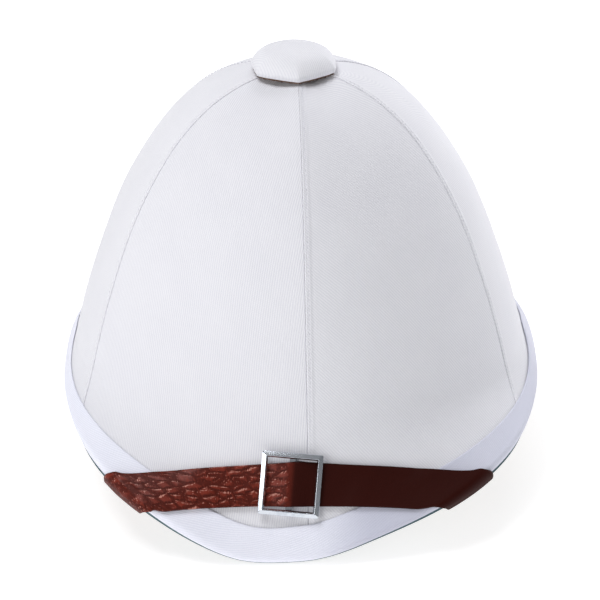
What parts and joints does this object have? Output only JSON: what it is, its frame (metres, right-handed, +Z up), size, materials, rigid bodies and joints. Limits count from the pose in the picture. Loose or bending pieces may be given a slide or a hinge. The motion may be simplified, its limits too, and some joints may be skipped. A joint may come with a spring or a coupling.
{
  "type": "pith helmet",
  "caption": "White cloth covered sun helmet with a tall panelled crown, a front peak, a long rear brim, a cap button and a leather strap worn up over the peak.",
  "frame": {"origin": "middle of the crown's widest plan, on the plane that the helmet stands on", "axes": "+Z up, -Y out over the front peak, +X to the right of the picture, which is the wearer's left"},
  "size_m": [0.2605, 0.3311, 0.2263],
  "materials": {
    "cork": "matte cork",
    "crown_cloth": "fine white twill",
    "binding_cloth": "fine white twill tape",
    "lining_cloth": "plain dark green-blue cloth",
    "collar": "plain tan",
    "leather": "pebbled brown, semi gloss",
    "buckle_steel": "polished nickel look",
    "stud_brass": "dull brass"
  },
  "bodies": {
    "root": {"shell": "cork", "panel_front_left": "crown_cloth", "panel_front_right": "crown_cloth", "panel_side_left": "crown_cloth", "panel_side_right": "crown_cloth", "panel_back_left": "crown_cloth", "panel_back_right": "crown_cloth", "edge_binding": "binding_cloth", "under_brim_lining": "lining_cloth", "top_button": "crown_cloth", "button_collar": "collar", "chin_strap": "leather", "buckle": "buckle_steel", "strap_stud_left": "stud_brass", "strap_stud_right": "stud_brass"}
  },
  "joints": []
}
